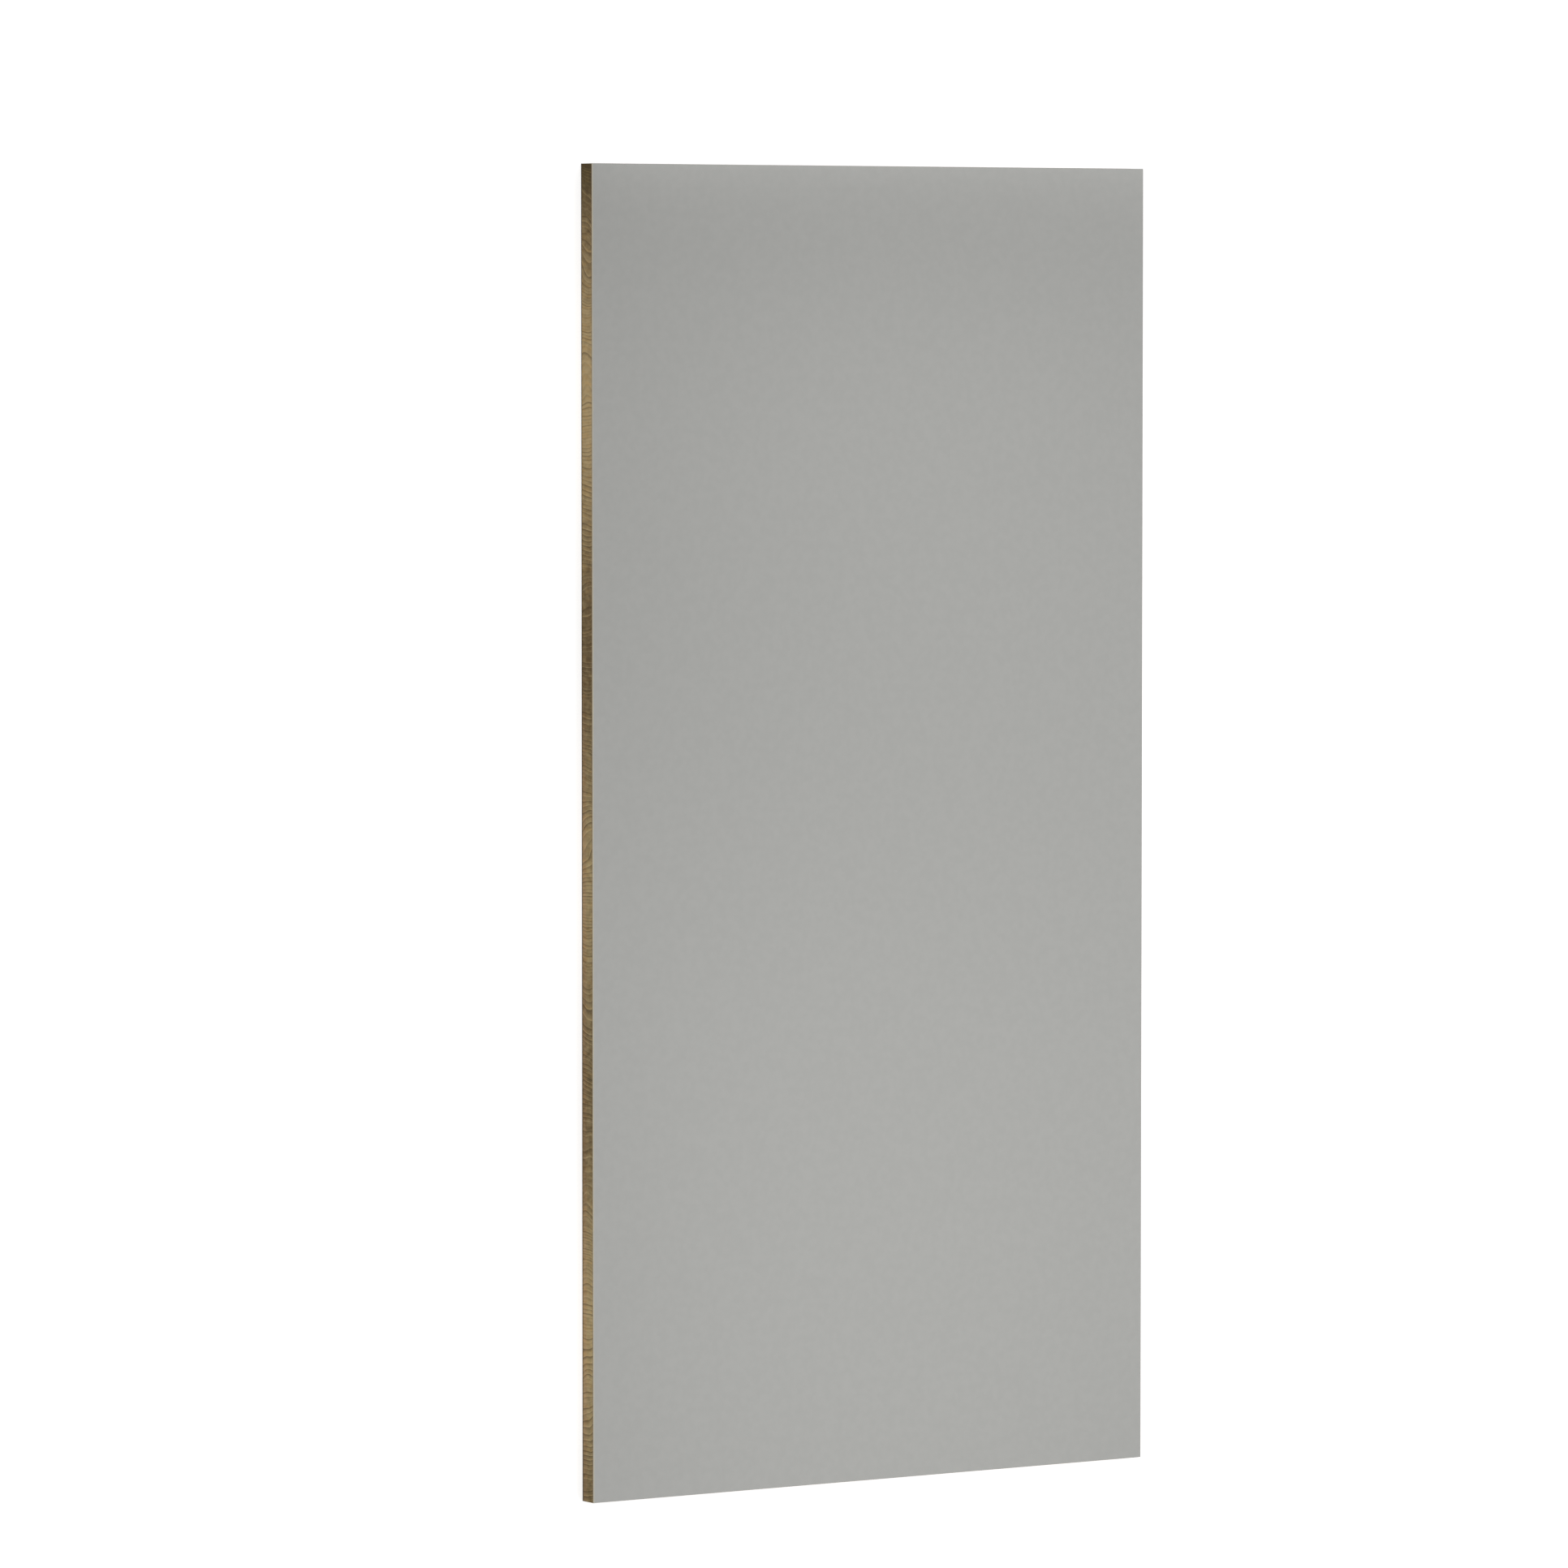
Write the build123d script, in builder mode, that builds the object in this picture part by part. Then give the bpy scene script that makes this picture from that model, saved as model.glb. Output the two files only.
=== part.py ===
"""Decorative laminate sheet, full size: a timber core board with a plain grey decorative laminate
bonded to its face and a thinner balancing laminate bonded to its back, all sawn flush at the edges.

Units are millimetres. The sheet lies flat with its decorative face up: +X runs across the width,
+Y along the length, +Z out of the decorative face. The origin is the middle of the underside.
"""

import os

from build123d import *

# Driving dimensions of the whole sheet
sheet_width = 1219.2  # 4 ft
sheet_length = 2438.4  # 8 ft

# Thickness of each layer, from the underside up
backing_thickness = 0.8
core_thickness = 35.0
face_thickness = 1.0

# The flat bevel that the trimming cutter leaves along the outer arris of each laminate
trim_bevel = 0.3

# Heights at which the layers meet
core_underside = backing_thickness
core_top = core_underside + core_thickness


# Backing laminate: the balancing sheet under the core, bevelled along its lower arris
with BuildPart() as backing_laminate:
    with BuildSketch(Plane.XY):
        Rectangle(sheet_width, sheet_length)
    extrude(amount=backing_thickness)
    chamfer(backing_laminate.faces().sort_by(Axis.Z)[0].edges(), length=trim_bevel)
backing_laminate.part.label = "backing_laminate"

# Core board: solid timber, sawn square on all four edges
with BuildPart() as core_board:
    with BuildSketch(Plane.XY.offset(core_underside)):
        Rectangle(sheet_width, sheet_length)
    extrude(amount=core_thickness)
core_board.part.label = "core_board"

# Face laminate: the decorative sheet on the core, bevelled along its upper arris
with BuildPart() as face_laminate:
    with BuildSketch(Plane.XY.offset(core_top)):
        Rectangle(sheet_width, sheet_length)
    extrude(amount=face_thickness)
    chamfer(face_laminate.faces().sort_by(Axis.Z)[-1].edges(), length=trim_bevel)
face_laminate.part.label = "face_laminate"

os.makedirs("parts", exist_ok=True)
for piece in (backing_laminate, core_board, face_laminate):
    export_step(piece.part, f"parts/{piece.part.label}.step")
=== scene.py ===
"""Looks of the decorative laminate sheet: a timber board with a plain grey laminate bonded to its face and a
dark balancing laminate bonded to its back. Units are metres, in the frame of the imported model: +X runs
across the width, +Y along the length and +Z out of the grey face.
"""

import math

import bpy
import numpy as np
from mathutils import Matrix, Vector


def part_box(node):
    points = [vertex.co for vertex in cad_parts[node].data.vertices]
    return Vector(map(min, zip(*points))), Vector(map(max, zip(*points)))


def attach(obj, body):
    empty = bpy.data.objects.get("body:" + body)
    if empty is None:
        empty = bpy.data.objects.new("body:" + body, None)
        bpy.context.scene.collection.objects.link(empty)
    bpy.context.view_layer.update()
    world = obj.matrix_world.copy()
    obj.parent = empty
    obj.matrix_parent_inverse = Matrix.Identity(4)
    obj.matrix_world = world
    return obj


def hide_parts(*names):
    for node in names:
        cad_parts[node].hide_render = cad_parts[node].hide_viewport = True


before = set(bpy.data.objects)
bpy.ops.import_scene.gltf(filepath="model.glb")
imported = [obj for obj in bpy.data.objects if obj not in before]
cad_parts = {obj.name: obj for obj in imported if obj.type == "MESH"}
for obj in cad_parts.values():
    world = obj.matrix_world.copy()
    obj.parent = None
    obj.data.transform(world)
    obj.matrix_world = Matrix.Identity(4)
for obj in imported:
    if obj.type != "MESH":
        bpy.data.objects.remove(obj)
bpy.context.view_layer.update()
bpy.ops.object.select_all(action="DESELECT")

# The backing laminate is the thin balancing sheet under the board. It is kraft paper pressed with brown
# phenolic resin, sanded to an even thickness along its length, bonded on and trimmed flush. The solid from
# the frame has its true shape, so it keeps that and gets its finish here.
backing_resin = (0.062, 0.042, 0.027, 1.0)
backing_fibre = (0.034, 0.022, 0.014, 1.0)
backing_roughness = 0.62
paper_fibre_lengths = (0.0012, 0.006, 0.0012)
sanding_lengths = (0.0004, 0.09, 0.0004)
sanding_share = 0.3
streak_lengths = (0.006, 0.5, 0.006)
streak_share = 0.3
sanding_depth = 0.00004
noise_spread = (0.35, 0.65)


def new_finish(name, roughness):
    """A material of one surface shader; returns the material, its node tree, the shader and object places."""
    material = bpy.data.materials.new(name)
    material.use_nodes = True
    tree = material.node_tree
    shader = tree.nodes["Principled BSDF"]
    shader.inputs["Roughness"].default_value = roughness
    place = add_node(tree, "ShaderNodeTexCoord", {}).outputs["Object"]
    return material, tree, shader, place


def add_node(tree, kind, inputs, **settings):
    """Adds a node with its settings; each input takes a value or a link from another node's output."""
    node = tree.nodes.new(kind)
    for setting, value in settings.items():
        setattr(node, setting, value)
    for socket, value in inputs.items():
        if isinstance(value, bpy.types.NodeSocket):
            tree.links.new(value, node.inputs[socket])
        else:
            node.inputs[socket].default_value = value
    return node


def maths(tree, operation, *values):
    """The result of one sum on numbers or outputs."""
    return add_node(tree, "ShaderNodeMath", dict(enumerate(values)), operation=operation).outputs[0]


def noise(tree, place, lengths, detail=2.0):
    """Noise from 0 to 1 whose blotches are about as long as given along X, Y and Z."""
    stretched = add_node(tree, "ShaderNodeVectorMath", {0: place, 1: lengths}, operation="DIVIDE")
    return add_node(
        tree, "ShaderNodeTexNoise", {"Vector": stretched.outputs[0], "Scale": 1.0, "Detail": detail}
    ).outputs[0]


def remap(tree, value, source, target):
    """Eases a value from one range into another and holds it there beyond the ends."""
    ranges = {"From Min": source[0], "From Max": source[1], "To Min": target[0], "To Max": target[1]}
    node = add_node(tree, "ShaderNodeMapRange", {"Value": value, **ranges}, interpolation_type="SMOOTHSTEP")
    return node.outputs["Result"]


def mix_colours(tree, share, first, second, blend="MIX"):
    """A colour that goes from the first to the second, or to their blend, as the share goes from 0 to 1."""
    inputs = {0: share, 6: first, 7: second}
    return add_node(tree, "ShaderNodeMix", inputs, data_type="RGBA", blend_type=blend).outputs[2]


def add_bump(tree, shader, height, depth):
    """Gives the shader fine relief: a height from 0 to 1 stands for that depth."""
    bump = add_node(tree, "ShaderNodeBump", {"Height": height, "Distance": depth, "Strength": 1.0})
    tree.links.new(bump.outputs[0], shader.inputs["Normal"])


backing_finish, tree, shader, place = new_finish("phenolic_backing", backing_roughness)
fibres = noise(tree, place, paper_fibre_lengths, detail=3.0)
scratches = noise(tree, place, sanding_lengths)
streaks = noise(tree, place, streak_lengths)
unsanded = maths(tree, "MULTIPLY", fibres, 1.0 - sanding_share - streak_share)
streaked = maths(tree, "MULTIPLY_ADD", streaks, streak_share, unsanded)
sanded = maths(tree, "MULTIPLY_ADD", scratches, sanding_share, streaked)
brown = mix_colours(tree, remap(tree, sanded, noise_spread, (0.0, 1.0)), backing_resin, backing_fibre)
tree.links.new(brown, shader.inputs["Base Color"])
add_bump(tree, shader, scratches, sanding_depth)
backing_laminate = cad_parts["backing_laminate"]
backing_laminate.material_slots[0].material = backing_finish

# The timber core is the thick board between the two laminates, sawn square and flush with them. Its fibres
# run across the width, so growth rings cross the long edges as dark arcs and draw out along the two ends. The
# saw leaves the hard late wood of each ring a little proud, and the bottom few millimetres of the edge, next
# to the backing's joint, are darker brown.
core_low, core_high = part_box("core_board")
core_middle = (core_low.z + core_high.z) / 2
core_thickness = core_high.z - core_low.z
# The steps of the mesh, the relief that the saw leaves, and the margins of the map for the baked finish.
rows_across_edge = 12
spans_of_length = 50
steps_in_span = 50
steps_of_width = 100
edge_skin = 0.0001
flat_face = 0.99
smooth_angle = math.radians(40)
relief_depth = 0.00015
map_end_margin = 0.004
map_side_margin = 0.06
# The growth rings: their pitch, how far they drift, sway and bow, and the early and late wood in each.
ring_pitch = 0.0085
ring_drift = 26.0
ring_drift_lengths = (4.0, 0.21, 0.45)
ring_sway = 1.1
ring_sway_lengths = (1.2, 0.05, 0.04)
ring_bow = 12.0
ring_bow_lengths = (1.2, 0.12, 1.0)
late_wood_rise = (0.46, 0.92)
late_wood_fall = (0.93, 1.0)
early_wood_fade = (0.0, 0.3)
early_wood_tone = -0.38
faintest_ring = 0.2
# The clean wood: its tone runs from 0, pale, to 1, deep, and the figure, fibres, pores and rays shift it.
timber_roughness = 0.75
timber_specular = 0.2
pale_timber = (0.5, 0.375, 0.197, 1.0)
deep_timber = (0.118, 0.078, 0.032, 1.0)
middle_tone = 0.535
# Each swing has its pitch, the place of its palest timber and its depth of tone.
tone_swings = ((0.88, 0.814, 0.34), (1.39, 0.73, 0.155))
tone_slant = 0.25
# Across the edge the timber gets a little darker towards the face laminate.
face_side_tone = 0.14
figure_lengths = (0.2, 0.011, 0.016)
figure_tone = 0.95
fibre_lengths = (0.03, 0.0007, 0.0007)
fibre_tone = 0.4
pore_lengths = (0.02, 0.0004, 0.0005)
pore_range = (0.58, 0.74)
pore_tone = 0.27
ray_lengths = (0.02, 0.009, 0.0004)
ray_range = (0.56, 0.72)
ray_tone = -0.22
saw_mark_lengths = (0.06, 0.0012, 0.06)
saw_mark_share = 0.4
sawn_depth = 0.0001
# The casts and marks over it: the wood darker over the last stretch towards the far end, the russet, the two
# sides of the board, the late wood, the dark band along the bottom of the edge and the glue lines.
dark_end_cast = (0.49, 0.48, 0.34, 1.0)
dark_end_length = 0.092
russet_cast = (1.0, 0.93, 0.82, 1.0)
russet_lengths = (0.2, 0.008, 0.03)
russet_range = (0.42, 0.7)
heart_side_cast = (1.035, 0.965, 0.985, 1.0)
bark_side_cast = (0.985, 1.015, 1.0, 1.0)
side_cast_heights = (0.012, 0.018)
side_cast_fade = (0.1, 0.4)
ring_brown = (0.06, 0.037, 0.015, 1.0)
ring_share = 0.57
bottom_band_brown = (0.034, 0.023, 0.011, 1.0)
bottom_band_share = 0.95
bottom_band_height = 0.0034
bottom_band_sway = 0.0016
bottom_band_lengths = (0.02, 0.012, 0.02)
glue_amber = (0.1, 0.065, 0.03, 1.0)
glue_line = 0.00015


def about_nought(tree, value, depth):
    """Turns noise from 0 to 1 into a swing of that depth about nought."""
    return maths(tree, "MULTIPLY_ADD", value, depth, -depth / 2)


def growth_rings(tree, place):
    """How far through its growth ring each place lies, from 0 to 1, and how strongly that ring is marked."""
    sides = add_node(tree, "ShaderNodeSeparateXYZ", {0: place}).outputs
    straight_rings = maths(tree, "DIVIDE", sides["Y"], ring_pitch)
    drift = noise(tree, place, ring_drift_lengths, detail=1.0)
    drifted_rings = maths(tree, "MULTIPLY_ADD", drift, ring_drift, straight_rings)
    sway = noise(tree, place, ring_sway_lengths, detail=1.0)
    swayed_rings = maths(tree, "MULTIPLY_ADD", sway, ring_sway, drifted_rings)
    from_middle = maths(tree, "DIVIDE", maths(tree, "SUBTRACT", sides["Z"], core_middle), core_thickness)
    arch = maths(tree, "MULTIPLY", from_middle, from_middle)
    bow = about_nought(tree, noise(tree, place, ring_bow_lengths, detail=1.0), ring_bow)
    rings = maths(tree, "MULTIPLY_ADD", arch, bow, swayed_rings)
    ring_number = maths(tree, "FLOOR", rings)
    own_strength = add_node(tree, "ShaderNodeTexWhiteNoise", {"W": ring_number}, noise_dimensions="1D")
    strength = remap(tree, own_strength.outputs["Value"], (0.0, 1.0), (faintest_ring, 1.0))
    return maths(tree, "FRACT", rings), strength


def late_wood(tree, part_of_ring, strength):
    """How dark the late wood is at each place, from 0 to 1: a thin line that closes each growth ring."""
    rise = remap(tree, part_of_ring, late_wood_rise, (0.0, 1.0))
    fall = remap(tree, part_of_ring, late_wood_fall, (1.0, 0.0))
    return maths(tree, "MULTIPLY", maths(tree, "MULTIPLY", rise, fall), strength)


def add_block(name, low, high):
    """A new block between two corners, at the origin and unscaled, the only thing selected."""
    bpy.ops.object.select_all(action="DESELECT")
    bpy.ops.mesh.primitive_cube_add(size=1.0, location=(low + high) / 2)
    block = bpy.context.object
    block.name = name
    block.data.name = name
    block.scale = high - low
    bpy.ops.object.transform_apply(location=True, rotation=True, scale=True)
    return block


def open_mesh(select_by):
    """Opens the active piece's mesh for editing by edges or by faces, with nothing selected."""
    bpy.ops.object.mode_set(mode="EDIT")
    bpy.ops.mesh.select_mode(type=select_by)
    bpy.ops.mesh.select_all(action="DESELECT")


def cut_edges(piece, axis, cuts, within=None):
    """Divides the piece's edges that run along one axis, all of them or those whose middle lies within."""
    open_mesh("EDGE")
    bpy.ops.object.mode_set(mode="OBJECT")
    places = np.empty(3 * len(piece.data.vertices))
    piece.data.vertices.foreach_get("co", places)
    ends = np.empty(2 * len(piece.data.edges), dtype=int)
    piece.data.edges.foreach_get("vertices", ends)
    start, end = places.reshape(-1, 3)[ends.reshape(-1, 2)].transpose(1, 0, 2)
    chosen = np.abs(end - start).argmax(axis=1) == axis
    if within is not None:
        chosen &= within((start + end) / 2)
    piece.data.edges.foreach_set("select", chosen)
    bpy.ops.object.mode_set(mode="EDIT")
    bpy.ops.mesh.subdivide(number_cuts=cuts, quadcorner="INNERVERT")
    bpy.ops.object.mode_set(mode="OBJECT")


def beside_ends(places):
    """Which places lie on the two ends of the board, or one step of its length in from them."""
    step = (core_high.y - core_low.y) / (spans_of_length * steps_in_span)
    return np.abs(places[:, 1]) > core_high.y - step - edge_skin


def push_in(tree, place_on_axis, side, inward):
    """How far a point moves along one axis: inward on the two sides that face along it, elsewhere not."""
    on_side = maths(tree, "GREATER_THAN", maths(tree, "ABSOLUTE", place_on_axis), side - edge_skin)
    outward = maths(tree, "MULTIPLY", maths(tree, "SIGN", place_on_axis), on_side)
    return maths(tree, "MULTIPLY", outward, inward)


def inset(share, margin):
    """Draws a share from 0 to 1 in by a margin at each end."""
    return margin + (1.0 - 2.0 * margin) * share


def lay_out_map(piece, low, high, long_rows, end_rows, row_height, top_height):
    """Gives the piece a map for its baked finish. Each edge is cut into rows along the bottom of the map, the
    long edges first, and the top and then the underside lie above them."""
    layer = piece.data.uv_layers.new(name="OFBake")
    edges_height = 2 * (long_rows + end_rows) * row_height
    under_height = 1.0 - edges_height - top_height
    places = np.empty(3 * len(piece.data.vertices))
    piece.data.vertices.foreach_get("co", places)
    shares = ((places.reshape(-1, 3) - np.array(low)) / np.array(high - low)).tolist()
    for face in piece.data.polygons:
        corners = [shares[vertex] for vertex in face.vertices]
        normal = face.normal
        if abs(normal.z) > flat_face:
            start = edges_height if normal.z > 0 else edges_height + top_height
            room = top_height if normal.z > 0 else under_height
            spots = [(along, start + room * inset(across, map_side_margin)) for across, along, up in corners]
        else:
            is_long = abs(normal.x) > abs(normal.y)
            rows = long_rows if is_long else end_rows
            first_row = (0 if is_long else 2 * long_rows) + (rows if max(normal.xy, key=abs) > 0 else 0)
            runs = [(along if is_long else across) * rows for across, along, up in corners]
            row = min(int(sum(runs) / len(runs)), rows - 1)
            heights = [first_row + row + inset(up, map_side_margin) for across, along, up in corners]
            spots = [(run - row, height * row_height) for run, height in zip(runs, heights)]
        for corner, (run, height) in zip(face.loop_indices, spots):
            layer.uv[corner].vector = (inset(run, map_end_margin), height)


timber_core = add_block("timber_core", core_low, core_high)
cut_edges(timber_core, axis=2, cuts=rows_across_edge - 1)
cut_edges(timber_core, axis=1, cuts=spans_of_length - 1)
cut_edges(timber_core, axis=1, cuts=steps_in_span - 1)
cut_edges(timber_core, axis=0, cuts=steps_of_width - 1, within=beside_ends)
# The strips behind those steps are left with many sides, so each is fanned out from its middle.
open_mesh("FACE")
bpy.ops.mesh.select_face_by_sides(number=4, type="GREATER")
bpy.ops.mesh.poke(center_mode="BOUNDS")
bpy.ops.object.mode_set(mode="OBJECT")

relief = bpy.data.node_groups.new("sawn_relief", "GeometryNodeTree")
relief.interface.new_socket("Geometry", in_out="INPUT", socket_type="NodeSocketGeometry")
relief.interface.new_socket("Geometry", in_out="OUTPUT", socket_type="NodeSocketGeometry")
unsawn = add_node(relief, "NodeGroupInput", {}).outputs[0]
place = add_node(relief, "GeometryNodeInputPosition", {}).outputs[0]
sides = add_node(relief, "ShaderNodeSeparateXYZ", {0: place}).outputs
soft_wood = maths(relief, "SUBTRACT", 1.0, late_wood(relief, *growth_rings(relief, place)))
inward = maths(relief, "MULTIPLY", soft_wood, -relief_depth)
push_x = push_in(relief, sides["X"], core_high.x, inward)
push_y = push_in(relief, sides["Y"], core_high.y, inward)
push = add_node(relief, "ShaderNodeCombineXYZ", {"X": push_x, "Y": push_y}).outputs[0]
sawn = add_node(relief, "GeometryNodeSetPosition", {"Geometry": unsawn, "Offset": push}).outputs[0]
add_node(relief, "NodeGroupOutput", {0: sawn})
sawing = timber_core.modifiers.new("sawn_relief", "NODES")
sawing.node_group = relief
bpy.ops.object.modifier_apply(modifier=sawing.name)
bpy.ops.object.shade_smooth_by_angle(angle=smooth_angle)

core_finish, tree, shader, place = new_finish("core_timber", timber_roughness)
shader.inputs["Specular IOR Level"].default_value = timber_specular
sides = add_node(tree, "ShaderNodeSeparateXYZ", {0: place}).outputs
from_left = maths(tree, "SUBTRACT", sides["X"], core_low.x)
slanted = maths(tree, "MULTIPLY_ADD", from_left, tone_slant, sides["Y"])
tone = middle_tone
for pitch, palest_place, depth in tone_swings:
    from_palest = maths(tree, "SUBTRACT", slanted, palest_place)
    swing = maths(tree, "COSINE", maths(tree, "MULTIPLY", from_palest, 2.0 * math.pi / pitch))
    tone = maths(tree, "SUBTRACT", tone, maths(tree, "MULTIPLY", swing, depth))
part_of_ring, ring_strength = growth_rings(tree, place)
early_wood = remap(tree, part_of_ring, early_wood_fade, (early_wood_tone, 0.0))
fibres = noise(tree, place, fibre_lengths)
pores = noise(tree, place, pore_lengths, detail=1.0)
rays = noise(tree, place, ray_lengths, detail=1.0)
for shading in (
    remap(tree, sides["Z"], (core_low.z, core_high.z), (-face_side_tone / 2, face_side_tone / 2)),
    about_nought(tree, noise(tree, place, figure_lengths, detail=3.0), figure_tone),
    about_nought(tree, fibres, fibre_tone),
    remap(tree, pores, pore_range, (0.0, pore_tone)),
    remap(tree, rays, ray_range, (0.0, ray_tone)),
    maths(tree, "MULTIPLY", early_wood, ring_strength),
):
    tone = maths(tree, "ADD", tone, shading)
clean_wood = mix_colours(tree, tone, pale_timber, deep_timber)
# The wood darkens over the last stretch towards the far end.
dark_end = (core_high.y - dark_end_length, core_high.y)
end_share = remap(tree, sides["Y"], dark_end, (0.0, 1.0))
wood = mix_colours(tree, end_share, clean_wood, dark_end_cast, blend="MULTIPLY")
russet = remap(tree, noise(tree, place, russet_lengths), russet_range, (0.0, 1.0))
warm_wood = mix_colours(tree, russet, wood, russet_cast, blend="MULTIPLY")
bark_share = remap(tree, sides["Z"], side_cast_heights, (0.0, 1.0))
side_cast = mix_colours(tree, bark_share, heart_side_cast, bark_side_cast)
cast_share = remap(tree, sides["Y"], side_cast_fade, (1.0, 0.0))
sided_wood = mix_colours(tree, cast_share, warm_wood, side_cast, blend="MULTIPLY")
line_share = maths(tree, "MULTIPLY", late_wood(tree, part_of_ring, ring_strength), ring_share)
ringed_wood = mix_colours(tree, line_share, sided_wood, ring_brown)
# The bottom few millimetres of the edge, next to the backing, are darkened to brown under a wavy top line.
bottom_band_wave = about_nought(tree, noise(tree, place, bottom_band_lengths), bottom_band_sway)
waved_height = maths(tree, "ADD", sides["Z"], bottom_band_wave)
bottom_band = remap(tree, waved_height, (core_low.z, core_low.z + bottom_band_height), (bottom_band_share, 0.0))
banded_wood = mix_colours(tree, bottom_band, ringed_wood, bottom_band_brown)
from_middle = maths(tree, "ABSOLUTE", maths(tree, "SUBTRACT", sides["Z"], core_middle))
glued = maths(tree, "GREATER_THAN", from_middle, core_thickness / 2 - glue_line)
tree.links.new(mix_colours(tree, glued, banded_wood, glue_amber), shader.inputs["Base Color"])
saw_marks = maths(tree, "MULTIPLY", noise(tree, place, saw_mark_lengths), saw_mark_share)
sawn_surface = maths(tree, "MULTIPLY_ADD", fibres, 1.0 - saw_mark_share, saw_marks)
add_bump(tree, shader, sawn_surface, sawn_depth)
timber_core.data.materials.append(core_finish)
lay_out_map(timber_core, core_low, core_high, long_rows=4, end_rows=2, row_height=0.06, top_height=0.14)
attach(timber_core, "root")
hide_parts("core_board")

# The face laminate is the decorative sheet that gives the board its name: plain grey paper under a matt
# melamine skin, on a brown kraft core. It is glued to the timber and trimmed flush, with its upper arris
# eased down to the kraft. Beside the left long edge the grey is painted paler and warmer in a narrow,
# uneven band: a painted highlight along that arris.
face_low, face_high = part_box("face_laminate")
arris_ease = 0.0003
arris_steps = 4
face_grey = (0.4355, 0.4365, 0.4185, 1.0)
face_grey_deep = (0.4185, 0.4195, 0.4025, 1.0)
face_roughness = (0.46, 0.56)
mottle_lengths = (0.016, 0.016, 0.016)
mottle_range = (0.25, 0.75)
suede_lengths = (0.0006, 0.0006, 0.0006)
suede_range = (0.3, 0.7)
suede_depth = 0.00004
# The painted highlight along the left long arris: its cream, how far in it reaches and how unevenly.
highlight_cream = (0.56, 0.51, 0.38, 1.0)
highlight_reach = (0.0016, 0.0038)
highlight_lengths = (0.004, 0.05, 0.004)
highlight_strength = (0.6, 1.0)
highlight_wave_lengths = (0.002, 0.011, 0.002)
highlight_wave = 0.0022
cutter_lengths = (0.003, 0.003, 0.0004)
kraft_brown = (0.15, 0.1, 0.058, 1.0)
kraft_deep = (0.095, 0.062, 0.036, 1.0)
kraft_layer_lengths = (0.03, 0.03, 0.00012)
cut_roughness = 0.55
cutter_depth = 0.00003

decor_laminate = add_block("decor_laminate", face_low, face_high)
open_mesh("FACE")
bpy.ops.object.mode_set(mode="OBJECT")
for face in decor_laminate.data.polygons:
    face.select = face.normal.z > flat_face
bpy.ops.object.mode_set(mode="EDIT")
bpy.ops.mesh.bevel(offset=arris_ease, segments=arris_steps, profile=0.5, affect="EDGES")
bpy.ops.object.mode_set(mode="OBJECT")

decor_finish, tree, shader, place = new_finish("matt_grey_face", sum(face_roughness) / 2)
mottle = remap(tree, noise(tree, place, mottle_lengths, detail=3.0), mottle_range, (0.0, 1.0))
suede = noise(tree, place, suede_lengths, detail=3.0)
grey = mix_colours(tree, mottle, face_grey, face_grey_deep)
# The painted highlight: the grey turns to cream within a few millimetres of the left long arris, unevenly.
across = add_node(tree, "ShaderNodeSeparateXYZ", {0: place}).outputs["X"]
wave = about_nought(tree, noise(tree, place, highlight_wave_lengths, detail=3.0), highlight_wave)
from_left_arris = maths(tree, "ADD", maths(tree, "SUBTRACT", across, face_low.x), wave)
beside_left_arris = remap(tree, from_left_arris, highlight_reach, (1.0, 0.0))
uneven = remap(tree, noise(tree, place, highlight_lengths), noise_spread, highlight_strength)
painted_highlight = maths(tree, "MULTIPLY", beside_left_arris, uneven)
tree.links.new(mix_colours(tree, painted_highlight, grey, highlight_cream), shader.inputs["Base Color"])
tree.links.new(remap(tree, suede, suede_range, face_roughness), shader.inputs["Roughness"])
add_bump(tree, shader, suede, suede_depth)

kraft_finish, tree, shader, place = new_finish("kraft_cut_edge", cut_roughness)
layers = remap(tree, noise(tree, place, kraft_layer_lengths), noise_spread, (0.0, 1.0))
tree.links.new(mix_colours(tree, layers, kraft_brown, kraft_deep), shader.inputs["Base Color"])
add_bump(tree, shader, noise(tree, place, cutter_lengths), cutter_depth)

for finish in (decor_finish, kraft_finish):
    decor_laminate.data.materials.append(finish)
for face in decor_laminate.data.polygons:
    face.material_index = 0 if face.normal.z > flat_face else 1
bpy.ops.object.shade_smooth_by_angle(angle=smooth_angle)
lay_out_map(decor_laminate, face_low, face_high, long_rows=1, end_rows=1, row_height=0.03, top_height=0.83)
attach(decor_laminate, "root")
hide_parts("face_laminate")

# The floor is a wide white studio floor that the sheet lies on. It shows white to the camera and in
# reflections, and still takes the sheet's soft shadow.
floor_size = 80.0
floor_white = (0.8, 0.8, 0.8, 1.0)
floor_roughness = 0.9
floor_glow = 0.62
pure_white = (1.0, 1.0, 1.0, 1.0)


def seen_directly(tree):
    """One where the camera, a reflection or a clear body looks straight at this surface, and else nought."""
    path = add_node(tree, "ShaderNodeLightPath", {})
    mirrored = maths(tree, "MAXIMUM", path.outputs["Is Glossy Ray"], path.outputs["Is Transmission Ray"])
    return maths(tree, "MAXIMUM", path.outputs["Is Camera Ray"], mirrored)


bpy.ops.object.select_all(action="DESELECT")
bpy.ops.mesh.primitive_plane_add(size=floor_size, location=(0.0, 0.0, 0.0))
floor = bpy.context.object
floor.name = "studio_floor"
floor_finish, tree, shader, place = new_finish("white_floor", floor_roughness)
shader.inputs["Base Color"].default_value = floor_white
shader.inputs["Specular IOR Level"].default_value = 0.0
shader.inputs["Emission Color"].default_value = pure_white
tree.links.new(maths(tree, "MULTIPLY", seen_directly(tree), floor_glow), shader.inputs["Emission Strength"])
floor.data.materials.append(floor_finish)

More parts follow.
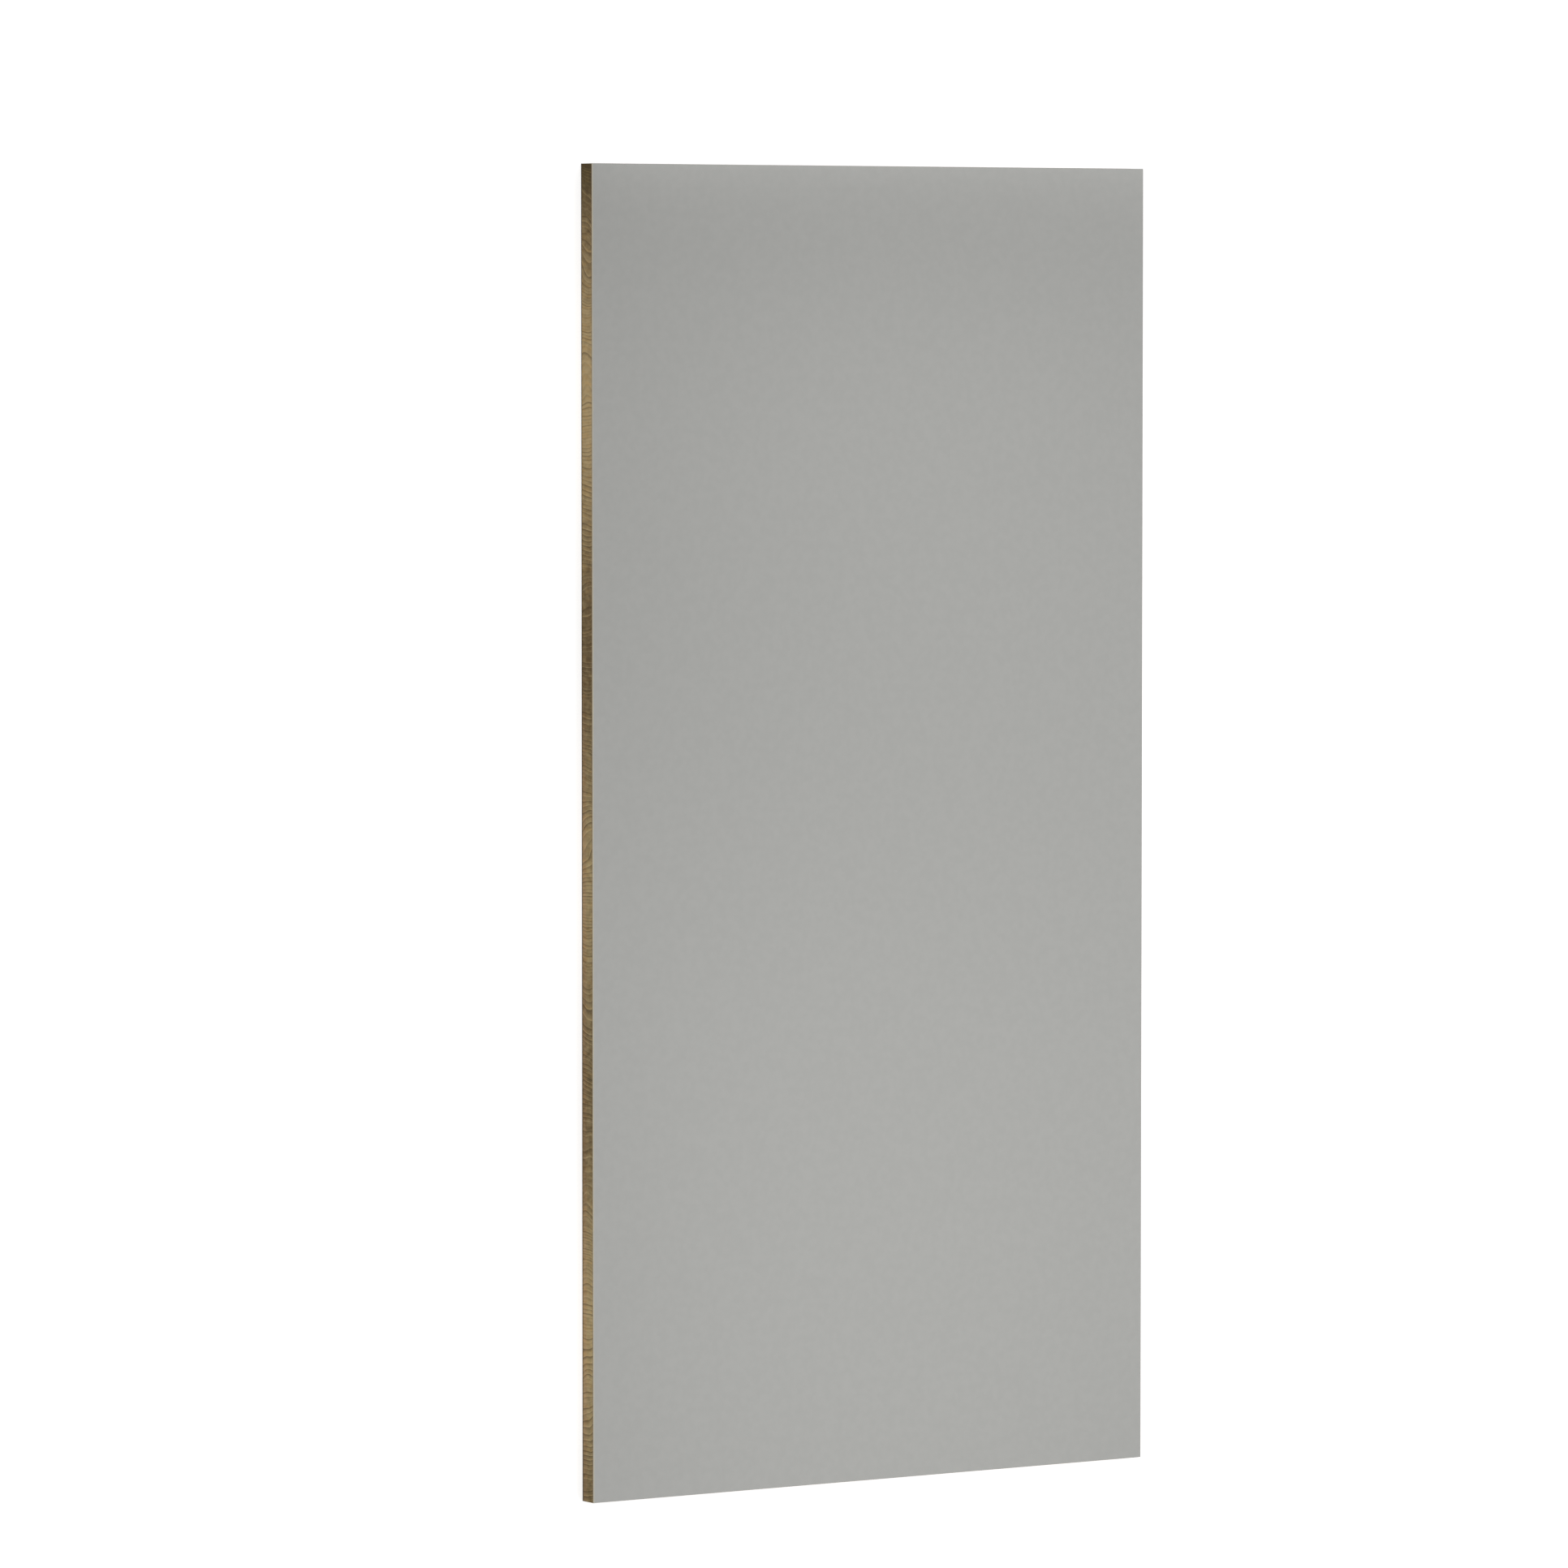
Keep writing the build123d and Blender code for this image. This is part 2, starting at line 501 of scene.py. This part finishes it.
# The light is a white room with a soft box over the near half of the sheet, one over the far end that faces
# back along it, a fill on each long side and a low strip beyond the far end, all hidden from the camera.
room_light = 0.5
room_seen = 1.0
key_place = Vector((0.18, -1.06, 1.55))
key_size = (0.78, 2.07)
key_radiance = 1.697
far_box_place = Vector((0.16, 0.9, 0.83))
far_box_facing = Vector((0.0, -0.85, -0.53))
far_box_size = (1.31, 0.77)
far_box_radiance = 0.549
fill_reach = 4.5
fill_height = 1.6
fill_aim = Vector((0.0, 0.0, 0.7))
fill_size = (4.0, 2.0)
fill_radiance = 1.6
strip_place = Vector((0.3, 1.4, 0.14))
strip_size = (1.87, 0.15)
strip_radiance = 1.614
straight_down = Vector((0.0, 0.0, -1.0))


def soft_box(name, place, facing, size, radiance):
    """A rectangular lamp of that even brightness which faces one way, its width level."""
    width, height = size
    lamp = bpy.data.lights.new(name, "AREA")
    lamp.shape = "RECTANGLE"
    lamp.size = width
    lamp.size_y = height
    lamp.energy = radiance * math.pi * width * height
    box = bpy.data.objects.new(name, lamp)
    box.location = place
    box.rotation_euler = facing.to_track_quat("-Z", "Y").to_euler()
    box.visible_camera = False
    bpy.context.scene.collection.objects.link(box)


world = bpy.data.worlds.new("white_room")
bpy.context.scene.world = world
world.use_nodes = True
tree = world.node_tree
sky = tree.nodes["Background"]
sky.inputs["Color"].default_value = pure_white
room_strength = maths(tree, "MULTIPLY_ADD", seen_directly(tree), room_seen - room_light, room_light)
tree.links.new(room_strength, sky.inputs["Strength"])
soft_box("key_box", key_place, straight_down, key_size, key_radiance)
soft_box("far_box", far_box_place, far_box_facing, far_box_size, far_box_radiance)
for name, side in (("left_fill", -1), ("right_fill", 1)):
    fill_place = Vector((side * fill_reach, 0.0, fill_height))
    soft_box(name, fill_place, fill_aim - fill_place, fill_size, fill_radiance)
soft_box("far_strip", strip_place, straight_down, strip_size, strip_radiance)

# The camera stands 16.6 metres away with a long lens, to the left of the sheet and above it, with the
# sheet's length upright in the picture.
view_turn = math.radians(32.82)
view_tilt = math.radians(3.037)
view_distance = 16.573
view_aim = Vector((-0.1953, 0.0825, face_high.z))
lens_length = 206.68
sensor_width = 36.0

back = Vector((
    -math.sin(view_turn) * math.cos(view_tilt),
    math.sin(view_tilt),
    math.cos(view_turn) * math.cos(view_tilt),
))
right = Vector((0.0, 1.0, 0.0)).cross(back).normalized()
upward = back.cross(right)
facing = Matrix((right, upward, back)).transposed().to_4x4()
camera_data = bpy.data.cameras.new("studio_camera")
camera_data.lens = lens_length
camera_data.sensor_width = sensor_width
camera = bpy.data.objects.new("studio_camera", camera_data)
camera.matrix_world = Matrix.Translation(view_aim + back * view_distance) @ facing
bpy.context.scene.collection.objects.link(camera)
bpy.context.scene.camera = camera
bpy.context.scene.view_settings.view_transform = "Standard"
